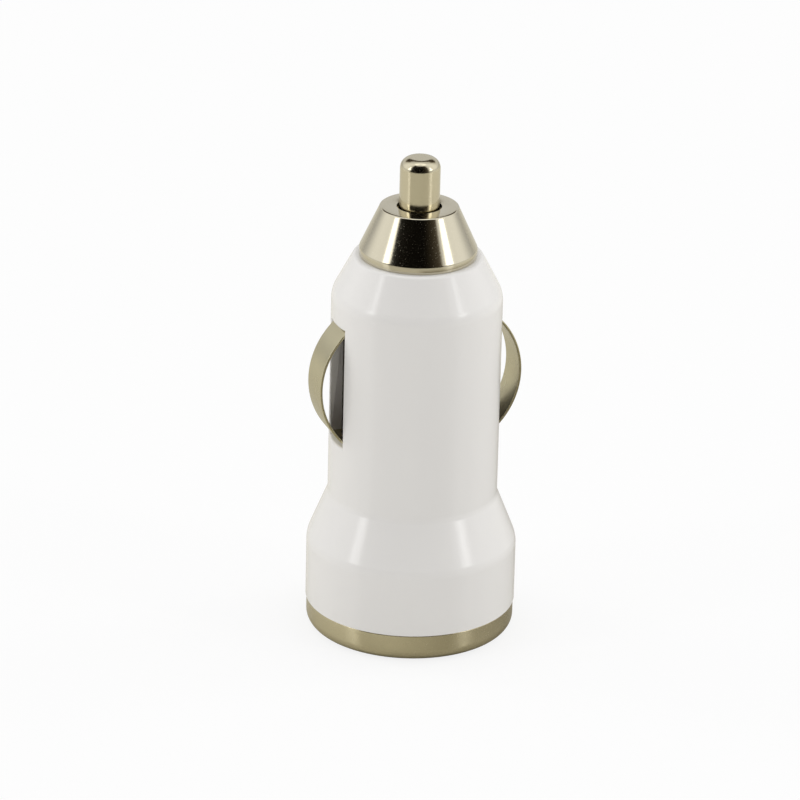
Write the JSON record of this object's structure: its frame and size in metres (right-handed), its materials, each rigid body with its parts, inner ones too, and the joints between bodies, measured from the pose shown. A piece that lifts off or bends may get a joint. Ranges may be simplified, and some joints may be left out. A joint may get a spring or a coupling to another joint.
{
  "type": "car usb charger plug",
  "caption": "Bullet shaped 12 V car socket plug with a USB port in its flat end, a sprung centre contact and sprung side clips.",
  "frame": {"origin": "centre of the flat USB end's rim, which is the plane that the plug stands on", "axes": "+Z along the barrel from the USB end to the centre contact's tip; X through the two side clips and along the USB opening's long side; the circuit board lies on the -Y side"},
  "size_m": [0.025, 0.0248, 0.0585],
  "materials": {
    "white_shell": "moulded ABS, warm white, satin to gloss",
    "face_white": "moulded ABS, warm white",
    "ring_nickel": "bright nickel plate",
    "nose_nickel": "bright nickel plate on a turned part",
    "pin_nickel": "bright nickel plate on a turned part",
    "clip_steel": "nickel plated spring steel strip",
    "spring_steel": "drawn spring wire",
    "terminal_brass": "stamped brass sheet",
    "board_laminate": "glass epoxy with green solder mask",
    "socket_steel": "nickel plated folded sheet",
    "socket_plastic": "moulded polyester, white",
    "contact_gold": "gold flash on copper alloy",
    "chip_epoxy": "moulded epoxy, black",
    "ferrite": "sintered ferrite, dull dark grey",
    "copper_wire": "enamelled copper wire",
    "can_aluminium": "drawn can",
    "resistor_body": "glazed ceramic chip",
    "ceramic_body": "fired ceramic, tan",
    "lamp_clear": "clear cast epoxy",
    "tinned_wire": "tinned steel wire"
  },
  "bodies": {
    "housing": {"body_shell": "white_shell", "end_ring": "ring_nickel", "face_plate": "face_white", "nose_cap": "nose_nickel", "contact_spring": "spring_steel", "positive_terminal": "terminal_brass", "circuit_board": "board_laminate", "usb_shell": "socket_steel", "usb_tongue": "socket_plastic", "usb_contact_1": "contact_gold", "usb_contact_2": "contact_gold", "usb_contact_3": "contact_gold", "usb_contact_4": "contact_gold", "controller_chip": "chip_epoxy", "inductor_core": "ferrite", "inductor_winding": "copper_wire", "input_capacitor": "can_aluminium", "output_capacitor": "can_aluminium", "schottky_diode": "chip_epoxy", "chip_resistors": "resistor_body", "ceramic_capacitors": "ceramic_body", "indicator_lamp": "lamp_clear", "lamp_leads": "tinned_wire"},
    "pin": {"contact_pin": "pin_nickel"},
    "clip_left": {"left_clip": "clip_steel"},
    "clip_right": {"right_clip": "clip_steel"}
  },
  "joints": [
    {"name": "pin_press", "type": "slide", "parent": "housing", "child": "pin", "axis": [0, 0, -1], "range_m": [0, 0.0025], "stiffness_N_per_m": 1200, "springref_m": -0.0015, "deforming": ["contact_spring"]},
    {"name": "left_clip_press", "type": "slide", "parent": "housing", "child": "clip_left", "axis": [1, 0, 0], "range_m": [0, 0.0018], "stiffness_N_per_m": 3000, "springref_m": -0.0003},
    {"name": "right_clip_press", "type": "slide", "parent": "housing", "child": "clip_right", "axis": [-1, 0, 0], "range_m": [0, 0.0018], "stiffness_N_per_m": 3000, "springref_m": -0.0003}
  ]
}
